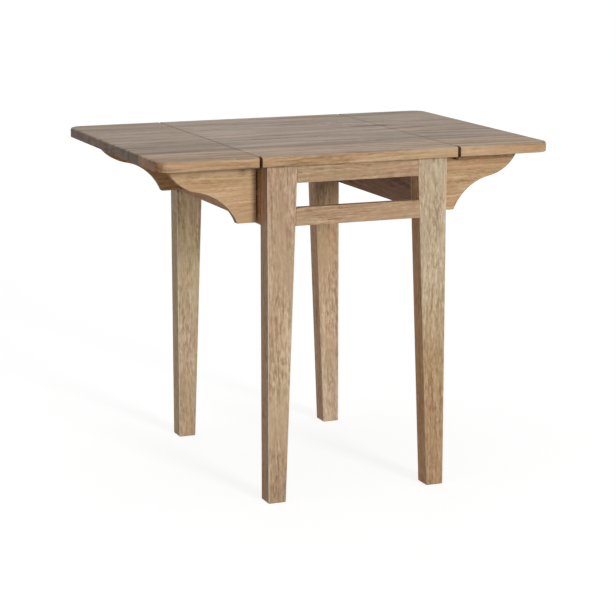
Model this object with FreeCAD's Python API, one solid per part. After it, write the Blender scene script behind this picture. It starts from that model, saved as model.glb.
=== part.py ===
import FreeCAD, Part
import os

V = FreeCAD.Vector

# Overall sizes in millimetres, with both leaves up
TABLE_HEIGHT = 760.0
TABLE_DEPTH = 680.0
CENTRE_LENGTH = 459.6
LEAF_LENGTH = 224.8
LEAF_GAP = 0.4

# Table top
TOP_THICKNESS = 22.0
TOP_CORNER_RADIUS = 34.0
TOP_RIM_ROUND = 5.0
UNDER_RIM_ROUND = 2.0
JOINT_SLOPE = 0.8
JOINT_NOTCH_WIDTH = 3.0
JOINT_NOTCH_DEPTH = 20.0
JOINT_CORNER_ROUND = 1.5
JOINT_CHAMFER = 0.8
PLANK_COUNT = 5

# Legs, straight on the outside and tapered on the inside
LEG_END_SETBACK = 20.8
LEG_FRONT_SETBACK = 19.0
LEG_DEPTH = 44.0
LEG_TOP_WIDTH = 69.0
LEG_FOOT_WIDTH = 40.5
LEG_EDGE_ROUND = 2.0
FOOT_CHAMFER = 1.5

# Rails across the two ends and aprons along the two leaf sides
APRON_HEIGHT = 131.0
APRON_THICKNESS = 18.0
RAIL_THICKNESS = 18.0
UPPER_RAIL_HEIGHT = 39.0
LOWER_RAIL_HEIGHT = 39.0
TENON_LENGTH = 25.0
TENON_SHOULDER = 8.0
RAIL_TENON_THICKNESS = 8.0
APRON_TENON_THICKNESS = 9.0
TENON_CLEARANCE = 0.15

# Battens that hold the centre top to the aprons
BATTEN_WIDTH = 20.0
BATTEN_HEIGHT = 22.0
BATTEN_END_CLEARANCE = 9.0
BATTEN_SCREW_COUNT = 4

# Swinging leaf brackets with an ogee lower edge
BRACKET_THICKNESS = 18.0
BRACKET_LEG_GAP = 15.0
BRACKET_REACH = 201.0
BRACKET_FOOT = 43.0
BRACKET_RISE = 3.0
BRACKET_TOP_CLEARANCE = 0.3
WAIST_REACH = 130.0
WAIST_RISE = 71.0
COVE_DEPTH = 14.0
NOSE_DEPTH = 11.5

# Butt hinges of the leaves
LEAF_HINGE_LENGTH = 66.0
LEAF_HINGE_INSET = 43.0
LEAF_HINGE_WIDTH = 20.0
LEAF_HINGE_PLATE = 2.0
LEAF_BARREL_RADIUS = 4.0
LEAF_PIN_RADIUS = 2.0
LEAF_HINGE_SCREW_COUNT = 3

# Butt hinges of the brackets
BRACKET_HINGE_LENGTH = 45.0
BRACKET_HINGE_END_GAP = 12.0
BRACKET_HINGE_WIDTH = 16.0
BRACKET_HINGE_PLATE = 1.2
BRACKET_BARREL_RADIUS = 1.6
BRACKET_PIN_RADIUS = 0.8
BRACKET_HINGE_SCREW_COUNT = 2

# Running clearances of every hinge
KNUCKLE_GAP = 0.3
PIN_CLEARANCE = 0.05

# Countersunk screws
TOP_SCREW_HEAD = 4.0
TOP_SCREW_SHANK = 2.0
TOP_SCREW_GRIP = 13.0
BATTEN_SCREW_GRIP = 10.0
LEAF_SCREW_HEAD = 3.0
LEAF_SCREW_SHANK = 1.5
LEAF_SCREW_GRIP = 12.0
BRACKET_SCREW_HEAD = 2.4
BRACKET_SCREW_SHANK = 1.2
BRACKET_SCREW_GRIP = 11.0

# Places that follow from the sizes above
UNDERSIDE = TABLE_HEIGHT - TOP_THICKNESS
HALF_DEPTH = TABLE_DEPTH / 2
CENTRE_END = CENTRE_LENGTH / 2
LEAF_START = CENTRE_END + LEAF_GAP
LEAF_END = LEAF_START + LEAF_LENGTH
PLANK_WIDTH = TABLE_DEPTH / PLANK_COUNT
LEG_OUTER_X = CENTRE_END - LEG_END_SETBACK
LEG_OUTER_Y = HALF_DEPTH - LEG_FRONT_SETBACK
LEG_INNER_Y = LEG_OUTER_Y - LEG_DEPTH
APRON_BOTTOM = UNDERSIDE - APRON_HEIGHT
APRON_INNER_X = LEG_OUTER_X - APRON_THICKNESS
LEAF_AXIS_X = CENTRE_END + LEAF_GAP / 2
LEAF_AXIS_Z = UNDERSIDE - LEAF_BARREL_RADIUS
BRACKET_AXIS_X = LEG_OUTER_X + BRACKET_BARREL_RADIUS
BRACKET_ROOT_X = BRACKET_AXIS_X + BRACKET_BARREL_RADIUS
BRACKET_OUTER_Y = LEG_INNER_Y - BRACKET_LEG_GAP
BRACKET_INNER_Y = BRACKET_OUTER_Y - BRACKET_THICKNESS
BRACKET_AXIS_Y = BRACKET_INNER_Y - BRACKET_BARREL_RADIUS - KNUCKLE_GAP
BRACKET_TOP = UNDERSIDE - BRACKET_TOP_CLEARANCE
BRACKET_BOTTOM = APRON_BOTTOM + BRACKET_RISE

X_SIDES = {"left": -1, "right": 1}
Y_SIDES = {"near": -1, "far": 1}
ORIGIN = V(0, 0, 0)
ALONG_X = V(1, 0, 0)
ALONG_Y = V(0, 1, 0)
ALONG_Z = V(0, 0, 1)


def box(x0, x1, y0, y1, z0, z1):
    """A block between two corners."""
    return Part.makeBox(x1 - x0, y1 - y0, z1 - z0, V(x0, y0, z0))


def to_side(shape, x_side, y_side=1):
    """Move a shape made at positive X and Y to another side of the table by mirroring it."""
    if x_side < 0:
        shape = shape.mirror(ORIGIN, ALONG_X)
    if y_side < 0:
        shape = shape.mirror(ORIGIN, ALONG_Y)
    return shape


def polygon_prism(points, y0, y1):
    """A prism along Y over an outline of (x, z) points."""
    corners = [V(x, y0, z) for x, z in points]
    face = Part.Face(Part.makePolygon(corners + corners[:1]))
    return face.extrude(V(0, y1 - y0, 0))


def spread(count, low, high):
    """The middles of equal stretches between two places."""
    step = (high - low) / count
    return [low + step * (i + 0.5) for i in range(count)]


def edge_rise(edge):
    """How far an edge runs up or down."""
    return abs(edge.Vertexes[0].Z - edge.Vertexes[-1].Z)


# Table top


def top_blank():
    """The whole top in one piece, with rounded corners and eased rims."""
    body = box(-LEAF_END, LEAF_END, -HALF_DEPTH, HALF_DEPTH, UNDERSIDE, TABLE_HEIGHT)
    corners = [e for e in body.Edges if edge_rise(e) > TOP_THICKNESS / 2]
    body = body.makeFillet(TOP_CORNER_RADIUS, corners)
    middle = UNDERSIDE + TOP_THICKNESS / 2
    body = body.makeFillet(TOP_RIM_ROUND, [e for e in body.Edges if e.BoundBox.ZMin > middle])
    return body.makeFillet(UNDER_RIM_ROUND, [e for e in body.Edges if e.BoundBox.ZMax < middle])


def joint_easing(x, facing):
    """What is taken off a panel at its joint face.

    There is a notch at each end, a chamfer below, and a slope with a chamfer above that lets the leaf lift.
    """
    side = x - facing * JOINT_NOTCH_WIDTH
    inner = side - facing * JOINT_CORNER_ROUND
    notch_y = HALF_DEPTH - JOINT_NOTCH_DEPTH
    centre_y = HALF_DEPTH - JOINT_CORNER_ROUND
    notch = box(min(x, side), max(x, side), notch_y, HALF_DEPTH, UNDERSIDE, TABLE_HEIGHT)
    corner = box(min(side, inner), max(side, inner), centre_y, HALF_DEPTH, UNDERSIDE, TABLE_HEIGHT)
    post = Part.makeCylinder(JOINT_CORNER_ROUND, TOP_THICKNESS, V(inner, centre_y, UNDERSIDE))
    ends = [notch, corner.cut(post)]
    cuts = ends + [to_side(end, 1, -1) for end in ends]
    slope_x = x - facing * JOINT_SLOPE
    upper = [
        (x, UNDERSIDE),
        (x, TABLE_HEIGHT),
        (slope_x - facing * JOINT_CHAMFER, TABLE_HEIGHT),
        (slope_x, TABLE_HEIGHT - JOINT_CHAMFER),
    ]
    lower = [(x, UNDERSIDE), (x - facing * JOINT_CHAMFER, UNDERSIDE), (x, UNDERSIDE + JOINT_CHAMFER)]
    return cuts + [polygon_prism(outline, -HALF_DEPTH, HALF_DEPTH) for outline in (upper, lower)]


def panel(blank, x0, x1, joint_faces):
    """The part of the top between x0 and x1, eased at each (place, facing) of its joint faces."""
    body = blank.common(box(x0, x1, -HALF_DEPTH, HALF_DEPTH, UNDERSIDE, TABLE_HEIGHT))
    return body.cut([cut for face in joint_faces for cut in joint_easing(*face)])


def planks(whole):
    """The glued planks of one panel, from the near edge to the far edge."""
    x0 = whole.BoundBox.XMin
    x1 = whole.BoundBox.XMax
    starts = [-HALF_DEPTH + PLANK_WIDTH * i for i in range(PLANK_COUNT)]
    return [whole.common(box(x0, x1, y, y + PLANK_WIDTH, UNDERSIDE, TABLE_HEIGHT)) for y in starts]


# Legs, rails and aprons


def leg_inner_x(z):
    """Distance of a leg's slanted inner face from the middle of the table at a height."""
    taper = (LEG_TOP_WIDTH - LEG_FOOT_WIDTH) * z / UNDERSIDE
    return LEG_OUTER_X - LEG_FOOT_WIDTH - taper


def rail_tenon(bottom, top, clearance=0.0):
    """The tongue at the right-hand end of an end rail at positive Y, grown by a clearance for its mortise."""
    middle_y = LEG_OUTER_Y - RAIL_THICKNESS / 2
    half = RAIL_TENON_THICKNESS / 2 + clearance
    return box(
        leg_inner_x(top) - TENON_SHOULDER,
        leg_inner_x(bottom) + TENON_LENGTH + clearance,
        middle_y - half,
        middle_y + half,
        bottom + TENON_SHOULDER - clearance,
        top - TENON_SHOULDER + clearance,
    )


def apron_tenon(clearance=0.0):
    """The tongue at the far end of the right-hand apron, grown by a clearance for its mortise."""
    middle_x = LEG_OUTER_X - APRON_THICKNESS / 2
    half = APRON_TENON_THICKNESS / 2 + clearance
    return box(
        middle_x - half,
        middle_x + half,
        LEG_INNER_Y - TENON_SHOULDER,
        LEG_INNER_Y + TENON_LENGTH + clearance,
        APRON_BOTTOM + TENON_SHOULDER - clearance,
        UNDERSIDE - TENON_SHOULDER + clearance,
    )


RAIL_SPANS = {
    "upper": (UNDERSIDE - UPPER_RAIL_HEIGHT, UNDERSIDE),
    "lower": (APRON_BOTTOM, APRON_BOTTOM + LOWER_RAIL_HEIGHT),
}


def leg():
    """The far right leg with its mortises."""
    outline = [
        (LEG_OUTER_X, 0),
        (leg_inner_x(0), 0),
        (leg_inner_x(UNDERSIDE), UNDERSIDE),
        (LEG_OUTER_X, UNDERSIDE),
    ]
    body = polygon_prism(outline, LEG_INNER_Y, LEG_OUTER_Y)
    uprights = [e for e in body.Edges if edge_rise(e) > UNDERSIDE / 2]
    body = body.makeFillet(LEG_EDGE_ROUND, uprights)
    foot_rim = [e for e in body.Edges if e.BoundBox.ZMax < FOOT_CHAMFER / 2]
    body = body.makeChamfer(FOOT_CHAMFER, foot_rim)
    mortises = [rail_tenon(low, high, TENON_CLEARANCE) for low, high in RAIL_SPANS.values()]
    return body.cut(mortises + [apron_tenon(TENON_CLEARANCE)])


def end_rail(bottom, top):
    """An end rail at positive Y, with ends that follow the slanted legs and a tenon at each end."""
    outline = [
        (-leg_inner_x(bottom), bottom),
        (leg_inner_x(bottom), bottom),
        (leg_inner_x(top), top),
        (-leg_inner_x(top), top),
    ]
    body = polygon_prism(outline, LEG_OUTER_Y - RAIL_THICKNESS, LEG_OUTER_Y)
    tenon = rail_tenon(bottom, top)
    return body.fuse([tenon, to_side(tenon, -1)]).removeSplitter()


def apron():
    """The right-hand apron with a tenon at each end."""
    body = box(APRON_INNER_X, LEG_OUTER_X, -LEG_INNER_Y, LEG_INNER_Y, APRON_BOTTOM, UNDERSIDE)
    tenon = apron_tenon()
    return body.fuse([tenon, to_side(tenon, 1, -1)]).removeSplitter()


def batten():
    """The batten behind the right-hand apron."""
    half = LEG_INNER_Y - BATTEN_END_CLEARANCE
    return box(APRON_INNER_X - BATTEN_WIDTH, APRON_INNER_X, -half, half, UNDERSIDE - BATTEN_HEIGHT, UNDERSIDE)


# Swinging brackets


def arc_between(start, end, depth):
    """An arc that bows to the right of the way from start to end by depth, all as (x, z) points."""
    chord = (end - start).normalize()
    bow = V(chord.z, 0, -chord.x) * depth
    return Part.Arc(start, (start + end) * 0.5 + bow, end).toShape()


def bracket():
    """The far right bracket, swung out under the leaf."""
    y = BRACKET_INNER_Y
    foot = V(BRACKET_ROOT_X + BRACKET_FOOT, y, BRACKET_BOTTOM)
    waist = V(BRACKET_ROOT_X + WAIST_REACH, y, BRACKET_BOTTOM + WAIST_RISE)
    tip = V(BRACKET_ROOT_X + BRACKET_REACH, y, BRACKET_TOP)
    root_top = V(BRACKET_ROOT_X, y, BRACKET_TOP)
    root_bottom = V(BRACKET_ROOT_X, y, BRACKET_BOTTOM)
    edges = [
        Part.makeLine(root_bottom, foot),
        arc_between(foot, waist, -COVE_DEPTH),
        arc_between(waist, tip, NOSE_DEPTH),
        Part.makeLine(tip, root_top),
        Part.makeLine(root_top, root_bottom),
    ]
    return Part.Face(Part.Wire(edges)).extrude(V(0, BRACKET_THICKNESS, 0))


# Hinges and screws


def screw(head, shank, length):
    """A countersunk screw along Z with the flat of its head at zero and its point at length."""
    taper = head - shank
    parts = [
        Part.makeCone(head, shank, taper),
        Part.makeCylinder(shank, length - taper - shank, V(0, 0, taper)),
        Part.makeCone(shank, 0, shank, V(0, 0, length - shank)),
    ]
    return parts[0].fuse(parts[1:]).removeSplitter()


def hinge_plate(radius, thickness, width, length, bore, knuckles):
    """A hinge plate toward +X with its wood side at +Y, and its knuckles round a pin along Z."""
    start = radius + KNUCKLE_GAP
    plate = box(start, width, radius - thickness, radius, 0, length)
    for low, high in knuckles:
        tab = box(0, start, radius - thickness, radius, low, high)
        barrel = Part.makeCylinder(radius, high - low, V(0, 0, low))
        plate = plate.fuse([tab, barrel])
    return plate.cut(Part.makeCylinder(bore, length)).removeSplitter()


def hinge(radius, thickness, width, length, pin_radius, screw_size, screw_count):
    """The pieces of a hinge whose pin stands along Z, with both plates toward +X in the closed position.

    The fixed plate has its wood side at +Y and the moving plate at -Y.
    """
    third = length / 3
    outer = [(0, third - KNUCKLE_GAP / 2), (2 * third + KNUCKLE_GAP / 2, length)]
    inner = [(third + KNUCKLE_GAP / 2, 2 * third - KNUCKLE_GAP / 2)]
    head, shank, grip = screw_size
    fastener = screw(head, shank, thickness + grip)
    fastener.rotate(ORIGIN, ALONG_X, -90)
    middle = (radius + KNUCKLE_GAP + width) / 2
    screws = []
    for z in spread(screw_count, 0, length):
        placed = fastener.copy()
        placed.translate(V(middle, radius - thickness, z))
        screws.append(placed)
    fixed = hinge_plate(radius, thickness, width, length, pin_radius, outer).cut(screws)
    moving = hinge_plate(radius, thickness, width, length, pin_radius + PIN_CLEARANCE, inner).cut(screws)
    return {
        "fixed_plates": [fixed],
        "fixed_screws": screws,
        "moving_plates": [moving.mirror(ORIGIN, ALONG_Y)],
        "moving_screws": [s.mirror(ORIGIN, ALONG_Y) for s in screws],
        "pins": [Part.makeCylinder(pin_radius, length)],
    }


def leaf_hinge():
    """The far hinge of the right-hand leaf, open flat under the top."""
    size = LEAF_SCREW_HEAD, LEAF_SCREW_SHANK, LEAF_SCREW_GRIP
    pieces = hinge(
        LEAF_BARREL_RADIUS,
        LEAF_HINGE_PLATE,
        LEAF_HINGE_WIDTH,
        LEAF_HINGE_LENGTH,
        LEAF_PIN_RADIUS,
        size,
        LEAF_HINGE_SCREW_COUNT,
    )
    far_end = HALF_DEPTH - LEAF_HINGE_INSET + LEAF_HINGE_LENGTH / 2
    for name, shapes in pieces.items():
        for shape in shapes:
            if name.startswith("fixed"):
                shape.rotate(ORIGIN, ALONG_Y, 180)
                shape.translate(V(0, 0, LEAF_HINGE_LENGTH))
            if name.startswith("moving"):
                shape.rotate(ORIGIN, ALONG_Z, 180)
                shape.rotate(ORIGIN, ALONG_Y, 180)
                shape.translate(V(0, 0, LEAF_HINGE_LENGTH))
            shape.rotate(ORIGIN, ALONG_X, 90)
            shape.translate(V(LEAF_AXIS_X, far_end, LEAF_AXIS_Z))
    return pieces


def bracket_hinge(bottom):
    """One hinge of the far right bracket, closed between the bracket and the apron."""
    size = BRACKET_SCREW_HEAD, BRACKET_SCREW_SHANK, BRACKET_SCREW_GRIP
    pieces = hinge(
        BRACKET_BARREL_RADIUS,
        BRACKET_HINGE_PLATE,
        BRACKET_HINGE_WIDTH,
        BRACKET_HINGE_LENGTH,
        BRACKET_PIN_RADIUS,
        size,
        BRACKET_HINGE_SCREW_COUNT,
    )
    for shape in sum(pieces.values(), []):
        shape.rotate(ORIGIN, ALONG_Z, 90)
        shape.translate(V(BRACKET_AXIS_X, BRACKET_AXIS_Y, bottom))
    return pieces


def top_screws():
    """Screws up through the right-hand batten, one into each plank of the centre top."""
    x = APRON_INNER_X - BATTEN_WIDTH / 2
    shape = screw(TOP_SCREW_HEAD, TOP_SCREW_SHANK, BATTEN_HEIGHT + TOP_SCREW_GRIP)
    screws = []
    for y in spread(PLANK_COUNT, -LEG_INNER_Y + BATTEN_END_CLEARANCE, LEG_INNER_Y - BATTEN_END_CLEARANCE):
        placed = shape.copy()
        placed.translate(V(x, y, UNDERSIDE - BATTEN_HEIGHT))
        screws.append(placed)
    return screws


def batten_screws():
    """Screws through the right-hand batten into its apron, set between the screws that hold the top."""
    shape = screw(TOP_SCREW_HEAD, TOP_SCREW_SHANK, BATTEN_WIDTH + BATTEN_SCREW_GRIP)
    shape.rotate(ORIGIN, ALONG_Y, 90)
    half = (LEG_INNER_Y - BATTEN_END_CLEARANCE) * (PLANK_COUNT - 1) / PLANK_COUNT
    screws = []
    for y in spread(BATTEN_SCREW_COUNT, -half, half):
        placed = shape.copy()
        placed.translate(V(APRON_INNER_X - BATTEN_WIDTH, y, UNDERSIDE - BATTEN_HEIGHT / 2))
        screws.append(placed)
    return screws


# Assembly


def gather(groups, prefix, name, shapes):
    """Add shapes to the group with this name."""
    groups.setdefault(prefix + name, []).extend(shapes)


def hardware():
    """Every hinge piece and screw of the table, grouped under its node name."""
    groups = {}
    bracket_hinge_bottoms = (
        BRACKET_BOTTOM + BRACKET_HINGE_END_GAP,
        BRACKET_TOP - BRACKET_HINGE_END_GAP - BRACKET_HINGE_LENGTH,
    )
    for x_name, x_side in X_SIDES.items():
        gather(groups, "", "top_screws", [to_side(s, x_side) for s in top_screws()])
        gather(groups, "", "batten_screws", [to_side(s, x_side) for s in batten_screws()])
        for y_name, y_side in Y_SIDES.items():
            for name, shapes in leaf_hinge().items():
                placed = [to_side(s, x_side, y_side) for s in shapes]
                gather(groups, x_name + "_leaf_hinge_", name, placed)
            for bottom in bracket_hinge_bottoms:
                for name, shapes in bracket_hinge(bottom).items():
                    placed = [to_side(s, x_side, y_side) for s in shapes]
                    owner = y_name + "_" + x_name + "_" if name.startswith("moving") else ""
                    gather(groups, owner + "bracket_hinge_", name, placed)
    return groups


def table():
    """All nodes of the table by name, as lists of solids."""
    nodes = hardware()
    top_holes = nodes["top_screws"]
    batten_holes = nodes["batten_screws"]
    hinge_holes = nodes["bracket_hinge_fixed_screws"]
    centre_holes = top_holes + nodes["left_leaf_hinge_fixed_screws"] + nodes["right_leaf_hinge_fixed_screws"]
    blank = top_blank()
    centre = panel(blank, -CENTRE_END, CENTRE_END, [(-CENTRE_END, -1), (CENTRE_END, 1)])
    for i, plank in enumerate(planks(centre), 1):
        nodes[f"centre_plank_{i}"] = [plank.cut(centre_holes)]
    leaf = panel(blank, LEAF_START, LEAF_END, [(LEAF_START, -1)])
    for x_name, x_side in X_SIDES.items():
        leaf_holes = nodes[x_name + "_leaf_hinge_moving_screws"]
        for i, plank in enumerate(planks(leaf), 1):
            nodes[f"{x_name}_leaf_plank_{i}"] = [to_side(plank, x_side).cut(leaf_holes)]
        nodes[x_name + "_apron"] = [to_side(apron(), x_side).cut(batten_holes + hinge_holes)]
        nodes[x_name + "_top_batten"] = [to_side(batten(), x_side).cut(batten_holes + top_holes)]
        for y_name, y_side in Y_SIDES.items():
            corner = y_name + "_" + x_name
            nodes[corner + "_leg"] = [to_side(leg(), x_side, y_side)]
            bracket_holes = nodes[corner + "_bracket_hinge_moving_screws"]
            nodes[corner + "_bracket"] = [to_side(bracket(), x_side, y_side).cut(bracket_holes)]
    for y_name, y_side in Y_SIDES.items():
        for rail_name, span in RAIL_SPANS.items():
            nodes[f"{y_name}_{rail_name}_rail"] = [to_side(end_rail(*span), 1, y_side)]
    return nodes


def write(nodes):
    """Write each node to its own file."""
    os.makedirs("parts", exist_ok=True)
    for name, shapes in nodes.items():
        solids = [solid for shape in shapes for solid in shape.Solids]
        shape = solids[0] if len(solids) == 1 else Part.makeCompound(solids)
        shape.exportStep(f"parts/{name}.step")
        print(name, len(solids), round(sum(s.Volume for s in solids)), all(s.isValid() for s in solids))


write(table())
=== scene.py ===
import math

import bpy
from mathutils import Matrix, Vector


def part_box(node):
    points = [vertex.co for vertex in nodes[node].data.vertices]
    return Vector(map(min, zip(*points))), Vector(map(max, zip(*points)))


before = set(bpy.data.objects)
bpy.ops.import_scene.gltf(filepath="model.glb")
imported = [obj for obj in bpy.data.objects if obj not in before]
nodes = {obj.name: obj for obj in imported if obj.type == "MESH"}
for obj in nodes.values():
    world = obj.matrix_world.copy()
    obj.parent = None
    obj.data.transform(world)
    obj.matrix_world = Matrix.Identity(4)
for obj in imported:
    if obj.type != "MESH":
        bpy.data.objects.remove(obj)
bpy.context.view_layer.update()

# Camera, in metres and degrees, looking down on the near left corner of the table; its tilt is counted from
# straight down
CAMERA_PLACE = (-1.7928, -4.4269, 1.3507)
CAMERA_YAW = 22.202
CAMERA_DOWN = 11.761
LEVEL_TILT = 90.0
LENS_MM = 123.49
SENSOR_MM = 36.0

# Lamps: where the light comes from, its strength, the spread that softens its shadows in degrees, and
# whether it shows in glossy surfaces
LAMPS = {
    "front": ((0.20, -1.0, 0.22), 2.38, 13.0, False),
    "overhead": ((-0.15, -0.10, 1.0), 0.40, 60.0, True),
    "back": ((0.15, 1.0, 0.20), 1.00, 60.0, False),
}

# The surround: how much light it gives, and how bright it is where it is seen
AMBIENT = 0.24
SURROUND_SEEN = 1.0
WHITE = (1.0, 1.0, 1.0, 1.0)

# The floor: its width in metres, how it bounces light, and how it is seen, which is a little matt for the
# shadow and otherwise glowing white
FLOOR_SIZE = 24.0
FLOOR_BOUNCE = (0.65, 0.65, 0.65, 1.0)
FLOOR_SEEN = (0.30, 0.30, 0.30, 1.0)
FLOOR_GLOW = 0.835

# Wood colours, as they read on a screen from 0 to 255: dark streak, middle and light streak
TOP_TONES = ((134, 108, 80), (174, 146, 115), (195, 168, 138))
LEG_TONES = ((148, 123, 97), (183, 159, 133), (208, 187, 163))
RAIL_TONES = ((142, 116, 90), (176, 149, 122), (201, 177, 152))
BRACKET_TONES = ((157, 124, 89), (187, 157, 124), (207, 181, 150))
APRON_TONES = ((128, 96, 68), (162, 130, 98), (186, 155, 123))

# Screen colours that the wood is multiplied by: on end grain, on the end grain of the near plank, along the
# shaded edge of a plank, and at the two ends of the slow change of hue
END_GRAIN = (158, 148, 142)
NEAR_END_GRAIN = (212, 190, 160)
EDGE_SHADE = (150, 140, 132)
PINKER = (252, 240, 233)
GREENER = (248, 246, 236)

# Screen colours of the pores and of pale edges, partly rubbed and partly a painted highlight, and how much
# of the wood's colour a pore covers
PORE = (84, 62, 44)
PORE_COVER = 0.35
WORN_AND_HIGHLIT = (232, 214, 186)

# Metals: screen colours where they are bright and where they are dull, and their least roughness
BRASS = ((118, 90, 58), (66, 49, 33), 0.40)
STEEL = ((168, 166, 160), (104, 100, 95), 0.30)

# The curve from a screen colour, as a share of white, to light
SCREEN_WHITE = 255
DARK_END = 0.04045
DARK_SLOPE = 12.92
CURVE_OFFSET = 0.055
CURVE_POWER = 2.4

# The planks of the top from the near edge to the far edge: how light each is, how much of its hue its level
# faces keep under their painted grey sheen, and how shaded they are along its near edge, over what width in
# metres
PLANK_LIGHT = (1.04, 0.95, 0.98, 0.96, 0.94)
PLANK_HUE = (0.81, 0.70, 0.70, 0.68, 0.70)
PLANK_SHADE = (0.0, 0.45, 0.15, 0.20, 0.05)
SHADE_WIDTH = 0.05

# The level faces of each panel, greyed as painted sheen and darkened as painted shade: how rich their hue
# is against the centre, and how light they are against the panel's edges
PANEL_SHEEN_AND_SHADE = {
    "left_leaf_plank": (1.08, 0.89),
    "centre_plank": (1.0, 0.98),
    "right_leaf_plank": (1.03, 0.95),
}

# How the boards differ from others of their kind, in red, green and blue
NO_TINT = (1.0, 1.0, 1.0)
BOARD_TINTS = {
    "left_apron": (1.20, 1.11, 1.02),
    "right_apron": (0.92, 0.84, 0.80),
    "near_left_leg": (1.03, 1.04, 1.05),
    "near_right_leg": (0.96, 0.93, 0.88),
    "far_left_leg": (0.99, 1.01, 1.02),
    "far_right_leg": (1.03, 1.04, 1.05),
    "near_left_bracket": (1.02, 1.04, 1.04),
    "far_left_bracket": (1.08, 1.04, 0.94),
}

# Painted light and shade on the left faces of the legs: how they differ from the middle of their other
# faces
LEFT_FACE_PAINTED_LIGHT = {
    "near_left_leg": (0.98, 0.90, 0.85),
    "near_right_leg": (1.17, 1.08, 0.99),
    "far_left_leg": (1.05, 1.03, 0.95),
    "far_right_leg": (1.07, 0.99, 0.90),
}

# How the other faces of the legs differ at the top and at the foot from their middle
LEG_ENDS = {
    "near_left_leg": ((0.95, 0.94, 0.94), (0.87, 0.85, 0.84)),
    "near_right_leg": ((1.06, 1.15, 1.24), (0.96, 0.96, 0.95)),
    "far_left_leg": ((1.00, 1.00, 0.97), (0.95, 0.92, 0.90)),
    "far_right_leg": ((0.95, 0.92, 0.88), (1.02, 1.03, 1.05)),
}

# Heights between which a leg turns to the tone of its top and of its foot, in metres
LEG_TOP_TURN = (0.30, 0.50)
LEG_FOOT_TURN = (0.20, 0.03)

# How the sawn curve of a bracket, which looks down, differs from its flat faces: partly sawn grain, partly
# painted shade
SAWN_AND_SHADE_TINT = (0.80, 0.74, 0.62)

# How fine each layer of the grain is along and across a board, per metre, then its detail and roughness
GRAIN_NOISE = {
    "bands": (2.6, 34.0, 4.0, 0.55),
    "streaks": (7.0, 190.0, 4.0, 0.60),
    "flecks": (60.0, 260.0, 3.0, 0.60),
    "fibres": (30.0, 900.0, 3.0, 0.60),
    "pores": (130.0, 1500.0, 2.0, 0.50),
}

# The same for slow changes: the wave of the fibres, the strength of the figure, the hue of a board and the
# shade along the edge of a plank
WAVE_NOISE = (5.0, 14.0, 2.0, 0.50)
STRENGTH_NOISE = (7.0, 24.0, 2.0, 0.50)
HUE_NOISE = (3.5, 14.0, 3.0, 0.60)
SHADE_NOISE = (5.0, 22.0, 2.0, 0.50)

# The same for metal: its dull patches and its brushed lines
PATCH_NOISE = (160.0, 160.0, 4.0, 0.65)
BRUSHED_NOISE = (90.0, 2400.0, 2.0, 0.50)

# Growth rings: their form, then how close they lie and how they waver
RING_KIND = {"wave_type": "RINGS", "rings_direction": "X", "wave_profile": "SAW"}
RING_WAVE = {"Scale": 30.0, "Distortion": 1.5, "Detail": 2.0, "Detail Scale": 1.5}

# Shares of each layer of the grain in the figure of a board
FIGURES = {
    "top": {"rings": 0.06, "bands": 0.40, "streaks": 0.26, "flecks": 0.18, "fibres": 0.10},
    "leg": {"rings": 0.03, "bands": 0.14, "streaks": 0.30, "flecks": 0.43, "fibres": 0.10},
    "rail": {"rings": 0.05, "bands": 0.15, "streaks": 0.36, "flecks": 0.34, "fibres": 0.10},
    "bracket": {"rings": 0.08, "bands": 0.34, "streaks": 0.22, "flecks": 0.26, "fibres": 0.10},
}

# The middle of the figure, how far it strays from there before a board is at its darkest or lightest, and
# how strong it is where a board is calm and where it is lively
MIDDLE = 0.5
FIGURE_REACH = {"top": 0.10, "leg": 0.12, "rail": 0.11, "bracket": 0.11}
FIGURE_STRENGTH = (0.45, 1.50)

# How far the waves of the fibres swing, in metres
WAVINESS = 0.018

# Values of the noise between which a change runs from none to all
STRENGTH_RANGE = (0.36, 0.64)
HUE_RANGE = (0.36, 0.64)
SHADE_RANGE = (0.38, 0.60)
PORE_RANGE = (0.60, 0.72)
WEAR_AND_HIGHLIGHT_RANGE = (0.35, 0.60)
POLISH_RANGE = (0.40, 0.66)

# How far a face has to look a certain way for a change to run from none to all, where 1 is straight and a
# minus is left or down: up or down for a level face with its painted sheen and shade, left for the painted
# light on a leg, down for a sawn curve with its painted shade, along the grain, and between two long faces
# for a rounded edge
LEVEL_RANGE = (0.15, 0.95)
LEFT_RANGE = (-0.80, -0.99)
SAWN_AND_SHADE_RANGE = (-0.15, -0.40)
END_RANGE = (0.60, 0.95)
ROUND_RANGE = (0.12, 0.50)

# How pale the edges of each kind of board are, partly rubbed and partly a painted highlight, and the shares
# of that on dark flecks and on edges that look to the middle of the table
EDGE_WEAR_AND_HIGHLIGHT = {"leg": 0.95, "rail": 0.30, "bracket": 0.40}
FLECK_WEAR_AND_HIGHLIGHT = 0.6
INNER_WEAR_AND_HIGHLIGHT = 0.25

# Where the wear and painted highlight begin and are full: from edges that look to the middle to those that
# look away from it, and from edges that look down to those that don't
OUTWARD_RANGE = (-0.02, 0.02)
UPWARD_RANGE = (-0.30, -0.05)

# Satin wax: its roughness on dark and on light streaks, what a pore adds to that, and its shine
WAX_ROUGH = (0.64, 0.52)
PORE_ROUGH = 0.18
WAX_SHINE = 0.35

# What the brushed lines of a metal add to its roughness
BRUSHED_ROUGH = 0.22

# Fine relief: the shares of the layers of the grain in it, then its strength and its height in metres
RELIEF_SHARES = {"fibres": 0.6, "streaks": 0.5, "pores": -0.7}
WOOD_RELIEF = (0.35, 0.0006)
METAL_RELIEF = (0.2, 0.0002)

# Rounding of the sawn edges that the solids leave sharp, in metres, and the steps that it takes
EDGE_EASE = {"rail": 0.0006, "bracket": 0.0010}
EASE_STEPS = 2

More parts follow.
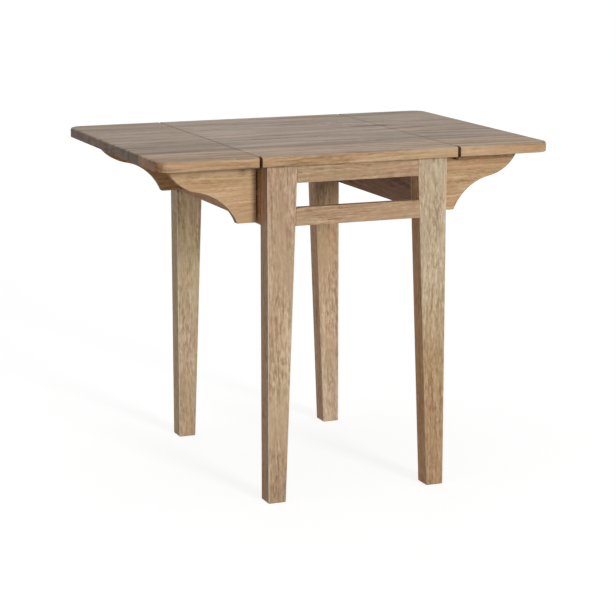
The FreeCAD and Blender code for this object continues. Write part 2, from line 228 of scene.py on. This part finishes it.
# Points nearer than this are joined before the rounding, in metres, and so are faces flatter than the first
# angle; edges sharper than the second angle are rounded, both in degrees
JOIN_REACH = 0.00001
FLAT_ANGLE = 0.5
SHARP_ANGLE = 50

# Turns that lay the object's X, Y or Z along the X of the grain, in radians
GRAIN_TURN = {
    "x": (0.0, 0.0, 0.0),
    "y": (0.0, 0.0, -math.pi / 2),
    "z": (0.0, math.pi / 2, 0.0),
}

# How the heart of the tree leans against the length of a board, in radians
TILT = (0.0, 0.02, 0.015)

# Places in the tree: how far apart the boards lie along it and how far each is turned round its heart from
# the one before, in metres and radians, and the few distances from the heart that they take in turn
BOARD_STEP = 0.37
HEART_TURN = 2.399963
HEART_NEAREST = 0.10
HEART_STEP = 0.03
HEART_STEPS = 4

# How many places come before those of the planks, and before those of the boards of the frame
BEFORE_PLANKS = 5
BEFORE_FRAME = 10

# Numbers of the sockets that a mix of two colours uses
MIX_SHARE = 0
MIX_FIRST = 6
MIX_SECOND = 7
MIX_RESULT = 2


# Shader helpers


def light_of(share):
    """The light that a share of a screen's white gives."""
    if share <= DARK_END:
        return share / DARK_SLOPE
    return ((share + CURVE_OFFSET) / (1 + CURVE_OFFSET)) ** CURVE_POWER


def linear(colour):
    """A screen colour from 0 to 255 as light, with nothing seen through it."""
    return tuple(light_of(part / SCREEN_WHITE) for part in colour) + (1.0,)


def add(tree, kind, inputs=None, **settings):
    """A new shader node, with its settings and its inputs linked or set."""
    node = tree.nodes.new(kind)
    for name, value in settings.items():
        setattr(node, name, value)
    for key, value in (inputs or {}).items():
        if isinstance(value, bpy.types.NodeSocket):
            tree.links.new(value, node.inputs[key])
        else:
            node.inputs[key].default_value = value
    return node


def mix(tree, share, first, second, blend="MIX"):
    """The colour between two others."""
    inputs = {MIX_SHARE: share, MIX_FIRST: first, MIX_SECOND: second}
    node = add(tree, "ShaderNodeMix", inputs, data_type="RGBA", blend_type=blend)
    return node.outputs[MIX_RESULT]


def multiplied(tree, colour, factor):
    """A colour multiplied by a screen colour."""
    return mix(tree, 1.0, colour, linear(factor), "MULTIPLY")


def by_tint(tree, colour, tint):
    """A colour with a tint in red, green and blue."""
    return multiplied(tree, colour, [part * SCREEN_WHITE for part in tint])


def maths(tree, operation, first, second):
    """One sum on two numbers."""
    return add(tree, "ShaderNodeMath", {0: first, 1: second}, operation=operation).outputs[0]


def vector_maths(tree, operation, first, second):
    """One sum on two vectors."""
    return add(tree, "ShaderNodeVectorMath", {0: first, 1: second}, operation=operation).outputs[0]


def axes(tree, vector):
    """The parts of a vector along X, Y and Z."""
    return add(tree, "ShaderNodeSeparateXYZ", {0: vector}).outputs


def span(tree, value, low, high, to_low=0.0, to_high=1.0):
    """A number moved from one range to another and held inside it."""
    inputs = {"Value": value, "From Min": low, "From Max": high, "To Min": to_low, "To Max": to_high}
    return add(tree, "ShaderNodeMapRange", inputs, clamp=True).outputs[0]


def turned(tree, vector, turn, shift=(0.0, 0.0, 0.0)):
    """Coordinates turned and then shifted."""
    inputs = {"Vector": vector, "Location": shift, "Rotation": turn}
    return add(tree, "ShaderNodeMapping", inputs).outputs[0]


def stretched(tree, vector, along, across):
    """Coordinates scaled by one number along the grain and another across it."""
    return vector_maths(tree, "MULTIPLY", vector, (along, across, across))


def noise(tree, vector, fineness, output="Fac"):
    """Soft noise, drawn out along the grain."""
    along, across, detail, roughness = fineness
    inputs = {
        "Vector": stretched(tree, vector, along, across),
        "Scale": 1.0,
        "Detail": detail,
        "Roughness": roughness,
    }
    return add(tree, "ShaderNodeTexNoise", inputs).outputs[output]


def empty_tree(owner):
    """The node tree of a material or a surround, with nothing in it yet."""
    owner.use_nodes = True
    owner.node_tree.nodes.clear()
    return owner.node_tree


def shader_start(name):
    """A new material with its node tree and its surface shader."""
    material = bpy.data.materials.new(name)
    tree = empty_tree(material)
    surface = add(tree, "ShaderNodeBsdfPrincipled")
    add(tree, "ShaderNodeOutputMaterial", {"Surface": surface.outputs[0]})
    return material, tree, surface


def relief(tree, surface, height, strength, distance):
    """Give a surface a fine relief."""
    bump = add(tree, "ShaderNodeBump", {"Height": height, "Strength": strength, "Distance": distance})
    tree.links.new(bump.outputs[0], surface.inputs["Normal"])


# Grain


def board_coords(tree, grain, place):
    """The object's coordinates, those along the grain of one board, and how far a face looks along each of
    the board's axes, of which X is along the grain.

    place shifts the figure so that no two boards match.
    """
    coords = add(tree, "ShaderNodeTexCoord").outputs
    turn = GRAIN_TURN[grain]
    along = turned(tree, turned(tree, coords["Object"], turn), TILT, place)
    normal = turned(tree, coords["Normal"], turn)
    sizes = add(tree, "ShaderNodeVectorMath", {0: normal}, operation="ABSOLUTE").outputs[0]
    return coords, along, axes(tree, sizes)


def bend(tree, along):
    """Coordinates pushed slowly from side to side, which makes the fibres wave."""
    slow = noise(tree, along, WAVE_NOISE, "Color")
    centred = vector_maths(tree, "SUBTRACT", slow, (MIDDLE, MIDDLE, MIDDLE))
    push = stretched(tree, centred, 0.0, WAVINESS)
    return vector_maths(tree, "ADD", along, push)


def growth_rings(tree, vector):
    """Rings round the heart of the tree."""
    return add(tree, "ShaderNodeTexWave", {"Vector": vector, **RING_WAVE}, **RING_KIND).outputs["Fac"]


def grain_layers(tree, vector):
    """The layers of the grain by name, each a number from 0 to 1."""
    layers = {name: noise(tree, vector, fineness) for name, fineness in GRAIN_NOISE.items()}
    layers["pores"] = span(tree, layers["pores"], *PORE_RANGE)
    layers["rings"] = growth_rings(tree, vector)
    return layers


def blend_layers(tree, layers, shares):
    """The weighted sum of some layers of the grain."""
    total = 0.0
    for name, share in shares.items():
        total = maths(tree, "ADD", total, maths(tree, "MULTIPLY", layers[name], share))
    return total


def uneven(tree, figure, along):
    """The figure, weaker in some places of a board and stronger in others."""
    places = noise(tree, along, STRENGTH_NOISE)
    strength = span(tree, places, *STRENGTH_RANGE, *FIGURE_STRENGTH)
    swing = maths(tree, "MULTIPLY", maths(tree, "SUBTRACT", figure, MIDDLE), strength)
    return maths(tree, "ADD", swing, MIDDLE)


def board_figure(tree, layers, along, kind):
    """The figure of a board, from 0 where it is darkest to 1 where it is lightest."""
    figure = uneven(tree, blend_layers(tree, layers, FIGURES[kind]), along)
    reach = FIGURE_REACH[kind]
    return span(tree, figure, MIDDLE - reach, MIDDLE + reach)


# Colour of the wood


def tone_ramp(tree, figure, tones):
    """Dark, middle and light wood along the figure."""
    ramp = add(tree, "ShaderNodeValToRGB", {"Fac": figure})
    dark, middle, light = (linear(tone) for tone in tones)
    ramp.color_ramp.elements[0].color = dark
    ramp.color_ramp.elements[1].color = light
    ramp.color_ramp.elements.new(MIDDLE).color = middle
    return ramp.outputs["Color"]


def mottled(tree, colour, along):
    """Slow changes of hue along a board."""
    share = span(tree, noise(tree, along, HUE_NOISE), *HUE_RANGE)
    return mix(tree, share, multiplied(tree, colour, PINKER), multiplied(tree, colour, GREENER))


def sheen_and_shade_faces(hue, value, near_edge, shade):
    """A finish that greys the level faces of a plank as painted sheen and darkens them as painted shade,
    darker again in patches along its near edge.
    """

    def finish(tree, colour, coords, facing):
        # The grey and the lower value of the level faces are painted sheen and painted shade
        grey = {"Saturation": hue, "Value": value, "Color": colour}
        painted_sheen = add(tree, "ShaderNodeHueSaturation", grey).outputs[0]
        depth = axes(tree, coords["Object"])["Y"]
        edge = span(tree, depth, near_edge, near_edge + SHADE_WIDTH, shade, 0.0)
        patches = span(tree, noise(tree, coords["Object"], SHADE_NOISE), *SHADE_RANGE)
        shaded = maths(tree, "MULTIPLY", edge, patches)
        painted_sheen = mix(tree, shaded, painted_sheen, multiplied(tree, painted_sheen, EDGE_SHADE))
        return mix(tree, span(tree, facing["Z"], *LEVEL_RANGE), colour, painted_sheen)

    return finish


def drifting_leg(left, top, foot):
    """A finish that paints light and shade on the left face of a leg, and tints its other faces at the top
    and at the foot.
    """

    def finish(tree, colour, coords, facing):
        height = axes(tree, coords["Object"])["Z"]
        rightward = axes(tree, coords["Normal"])["X"]
        # The tint of the left face is painted light and shade
        side = by_tint(tree, colour, left)
        colour = mix(tree, span(tree, height, *LEG_TOP_TURN), colour, by_tint(tree, colour, top))
        colour = mix(tree, span(tree, height, *LEG_FOOT_TURN), colour, by_tint(tree, colour, foot))
        return mix(tree, span(tree, rightward, *LEFT_RANGE), colour, side)

    return finish


def sawn_and_shaded_curve(tree, colour, coords, facing):
    """The finish of a bracket, darker on faces that look down: partly its sawn grain, partly painted shade.
    """
    upward = axes(tree, coords["Normal"])["Z"]
    # Faces that look down are darker: partly sawn grain, partly painted shade
    return mix(tree, span(tree, upward, *SAWN_AND_SHADE_RANGE), colour, by_tint(tree, colour, SAWN_AND_SHADE_TINT))


def plain(tree, colour, coords, facing):
    """The finish of a board that looks the same on all its long faces."""
    return colour


def dark_ends(tree, colour, facing, end):
    """Darker wood where the grain ends."""
    return mix(tree, span(tree, facing["X"], *END_RANGE), colour, multiplied(tree, colour, end))


def dark_pores(tree, colour, pores):
    """Dark open pores."""
    return mix(tree, maths(tree, "MULTIPLY", pores, PORE_COVER), colour, linear(PORE))


def worn_and_highlit_edges(tree, colour, coords, facing, flecks, most):
    """Pale edges, partly rubbed and partly a painted highlight, fainter where they look to the middle of
    the table, none where they look down.
    """
    rounding = span(tree, maths(tree, "MINIMUM", facing["Y"], facing["Z"]), *ROUND_RANGE)
    normal = axes(tree, coords["Normal"])
    place = axes(tree, coords["Object"])
    away = maths(tree, "MULTIPLY", normal["X"], place["X"])
    outward = span(tree, away, *OUTWARD_RANGE, INNER_WEAR_AND_HIGHLIGHT, 1.0)
    reached = maths(tree, "MULTIPLY", outward, span(tree, normal["Z"], *UPWARD_RANGE))
    rubbed_and_lit = maths(tree, "MULTIPLY", rounding, reached)
    pale = span(tree, flecks, *WEAR_AND_HIGHLIGHT_RANGE, most * FLECK_WEAR_AND_HIGHLIGHT, most)
    # The pale colour of the edges is partly wear, partly a painted highlight
    return mix(tree, maths(tree, "MULTIPLY", rubbed_and_lit, pale), colour, linear(WORN_AND_HIGHLIT))


# Materials


def wax(tree, surface, figure, layers):
    """Satin wax, a little shinier on the light streaks and open in the pores."""
    rough = span(tree, figure, 0.0, 1.0, *WAX_ROUGH)
    rough = maths(tree, "ADD", rough, maths(tree, "MULTIPLY", layers["pores"], PORE_ROUGH))
    tree.links.new(rough, surface.inputs["Roughness"])
    surface.inputs["Specular IOR Level"].default_value = WAX_SHINE
    relief(tree, surface, blend_layers(tree, layers, RELIEF_SHARES), *WOOD_RELIEF)


def wood(name, tones, grain, place, kind, finish, end=END_GRAIN):
    """Open-grained wood with bands, streaks, flecks and pores, and pale edges, partly worn and partly a
    painted highlight, where its kind has them.
    """
    material, tree, surface = shader_start(name)
    coords, along, facing = board_coords(tree, grain, place)
    layers = grain_layers(tree, bend(tree, along))
    figure = board_figure(tree, layers, along, kind)
    colour = mottled(tree, tone_ramp(tree, figure, tones), along)
    colour = finish(tree, colour, coords, facing)
    colour = dark_ends(tree, colour, facing, end)
    colour = dark_pores(tree, colour, layers["pores"])
    if kind in EDGE_WEAR_AND_HIGHLIGHT:
        colour = worn_and_highlit_edges(tree, colour, coords, facing, layers["flecks"], EDGE_WEAR_AND_HIGHLIGHT[kind])
    tree.links.new(colour, surface.inputs["Base Color"])
    wax(tree, surface, figure, layers)
    return material


def metal(name, bright, dull, roughness):
    """Aged metal with brushed lines, dull in patches."""
    material, tree, surface = shader_start(name)
    place = add(tree, "ShaderNodeTexCoord").outputs["Object"]
    polished = span(tree, noise(tree, place, PATCH_NOISE), *POLISH_RANGE)
    colour = mix(tree, polished, linear(dull), linear(bright))
    tree.links.new(colour, surface.inputs["Base Color"])
    surface.inputs["Metallic"].default_value = 1.0
    brushed = noise(tree, place, BRUSHED_NOISE)
    rough = maths(tree, "ADD", maths(tree, "MULTIPLY", brushed, BRUSHED_ROUGH), roughness)
    tree.links.new(rough, surface.inputs["Roughness"])
    relief(tree, surface, brushed, *METAL_RELIEF)
    return material


# Pieces


def dress(node, material):
    """Give a piece its material."""
    for slot in nodes[node].material_slots:
        slot.material = material


def ease(node, width):
    """Round the sharp edges of a piece by a small width."""
    piece = nodes[node]
    weld = piece.modifiers.new("weld", "WELD")
    weld.merge_threshold = JOIN_REACH
    flat = piece.modifiers.new("flat_faces", "DECIMATE")
    flat.decimate_type = "DISSOLVE"
    flat.angle_limit = math.radians(FLAT_ANGLE)
    bevel = piece.modifiers.new("eased_edges", "BEVEL")
    bevel.width = width
    bevel.segments = EASE_STEPS
    bevel.limit_method = "ANGLE"
    bevel.angle_limit = math.radians(SHARP_ANGLE)
    bevel.harden_normals = True


def spot(number):
    """A place in the tree, different for each board number, with the heart of the tree some way off."""
    turn = number * HEART_TURN
    reach = HEART_NEAREST + HEART_STEP * (number % HEART_STEPS)
    return (BOARD_STEP * number, reach * math.cos(turn), reach * math.sin(turn))


def toned(tones, tint):
    """The tones of a board with its tint in red, green and blue."""
    return [[part * share for part, share in zip(tone, tint)] for tone in tones]


def dress_top():
    """Planks run through the centre and both leaves, so each has one figure in all three panels."""
    planks = zip(PLANK_LIGHT, PLANK_HUE, PLANK_SHADE)
    for number, (light, hue, shade) in enumerate(planks, 1):
        tones = toned(TOP_TONES, (light, light, light))
        place = spot(BEFORE_PLANKS + number)
        end = NEAR_END_GRAIN if number == 1 else END_GRAIN
        for panel, (rich, value) in PANEL_SHEEN_AND_SHADE.items():
            node = f"{panel}_{number}"
            near_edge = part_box(node)[0][1]
            finish = sheen_and_shade_faces(hue * rich, value, near_edge, shade)
            dress(node, wood(node + "_wood", tones, "x", place, "top", finish, end))


def frame_boards():
    """The boards of the frame and the brackets: node, tones, axis of the grain and kind."""
    boards = []
    for side in ("left", "right"):
        boards.append((side + "_apron", APRON_TONES, "y", "rail"))
        boards.append((side + "_top_batten", APRON_TONES, "y", "rail"))
        for end in ("near", "far"):
            boards.append((f"{end}_{side}_leg", LEG_TONES, "z", "leg"))
            boards.append((f"{end}_{side}_bracket", BRACKET_TONES, "x", "bracket"))
    for end in ("near", "far"):
        boards.append((end + "_upper_rail", RAIL_TONES, "x", "rail"))
        boards.append((end + "_lower_rail", RAIL_TONES, "x", "rail"))
    return boards


def board_finish(node, kind):
    """How the faces of one board of the frame differ."""
    if kind == "leg":
        return drifting_leg(LEFT_FACE_PAINTED_LIGHT[node], *LEG_ENDS[node])
    return sawn_and_shaded_curve if kind == "bracket" else plain


def dress_frame():
    """Legs, rails, aprons, battens and brackets, each with its own figure."""
    for number, (node, tones, grain, kind) in enumerate(frame_boards(), 1):
        tones = toned(tones, BOARD_TINTS.get(node, NO_TINT))
        place = spot(BEFORE_FRAME + number)
        dress(node, wood(node + "_wood", tones, grain, place, kind, board_finish(node, kind)))
        if kind in EDGE_EASE:
            ease(node, EDGE_EASE[kind])


def dress_hardware():
    """Brass hinges with their pins and screws, and the steel screws of the battens."""
    brass = metal("aged_brass", *BRASS)
    steel = metal("plated_steel", *STEEL)
    for node in nodes:
        if "hinge" in node:
            dress(node, brass)
        elif node.endswith("screws"):
            dress(node, steel)


# Stage, lamps and camera


def seen_directly(tree):
    """1 for rays from the camera, a mirror or glass, 0 for light that bounces."""
    path = add(tree, "ShaderNodeLightPath").outputs
    mirrored = maths(tree, "MAXIMUM", path["Is Glossy Ray"], path["Is Transmission Ray"])
    return maths(tree, "MAXIMUM", path["Is Camera Ray"], mirrored)


def floor_material():
    """A pale floor, one way for the light that it bounces and another where it is seen."""
    material = bpy.data.materials.new("floor_pale")
    tree = empty_tree(material)
    bounce = add(tree, "ShaderNodeBsdfDiffuse", {"Color": FLOOR_BOUNCE}).outputs[0]
    matt = add(tree, "ShaderNodeBsdfDiffuse", {"Color": FLOOR_SEEN}).outputs[0]
    glow = add(tree, "ShaderNodeEmission", {"Color": WHITE, "Strength": FLOOR_GLOW}).outputs[0]
    seen = add(tree, "ShaderNodeAddShader", {0: matt, 1: glow}).outputs[0]
    both = add(tree, "ShaderNodeMixShader", {0: seen_directly(tree), 1: bounce, 2: seen}).outputs[0]
    add(tree, "ShaderNodeOutputMaterial", {"Surface": both})
    return material


def make_floor():
    """A wide pale floor that keeps a soft shadow of the table."""
    half = FLOOR_SIZE / 2
    corners = [(-half, -half, 0), (half, -half, 0), (half, half, 0), (-half, half, 0)]
    mesh = bpy.data.meshes.new("floor")
    mesh.from_pydata(corners, [], [(0, 1, 2, 3)])
    mesh.materials.append(floor_material())
    floor = bpy.data.objects.new("floor", mesh)
    bpy.context.scene.collection.objects.link(floor)


def make_world():
    """Even light all round, and a white surround where it is seen."""
    world = bpy.data.worlds.new("studio")
    bpy.context.scene.world = world
    tree = empty_tree(world)
    dim = add(tree, "ShaderNodeBackground", {"Color": WHITE, "Strength": AMBIENT}).outputs[0]
    bright = add(tree, "ShaderNodeBackground", {"Color": WHITE, "Strength": SURROUND_SEEN}).outputs[0]
    both = add(tree, "ShaderNodeMixShader", {0: seen_directly(tree), 1: dim, 2: bright}).outputs[0]
    add(tree, "ShaderNodeOutputWorld", {"Surface": both})


def make_lamps():
    """Soft, even light from the front, from above and from behind."""
    for name, (source, strength, spread, mirrored) in LAMPS.items():
        lamp = bpy.data.lights.new(name, "SUN")
        lamp.energy = strength
        lamp.angle = math.radians(spread)
        holder = bpy.data.objects.new(name, lamp)
        holder.rotation_euler = (-Vector(source)).to_track_quat("-Z", "Y").to_euler()
        holder.visible_glossy = mirrored
        bpy.context.scene.collection.objects.link(holder)


def make_camera():
    """The camera, in front of the near end, to its left and above the top."""
    data = bpy.data.cameras.new("camera")
    data.lens = LENS_MM
    data.sensor_width = SENSOR_MM
    camera = bpy.data.objects.new("camera", data)
    camera.location = CAMERA_PLACE
    camera.rotation_euler = (math.radians(LEVEL_TILT - CAMERA_DOWN), 0.0, math.radians(-CAMERA_YAW))
    bpy.context.scene.collection.objects.link(camera)
    bpy.context.scene.camera = camera


dress_top()
dress_frame()
dress_hardware()
make_floor()
make_world()
make_lamps()
make_camera()
bpy.context.scene.view_settings.view_transform = "Standard"
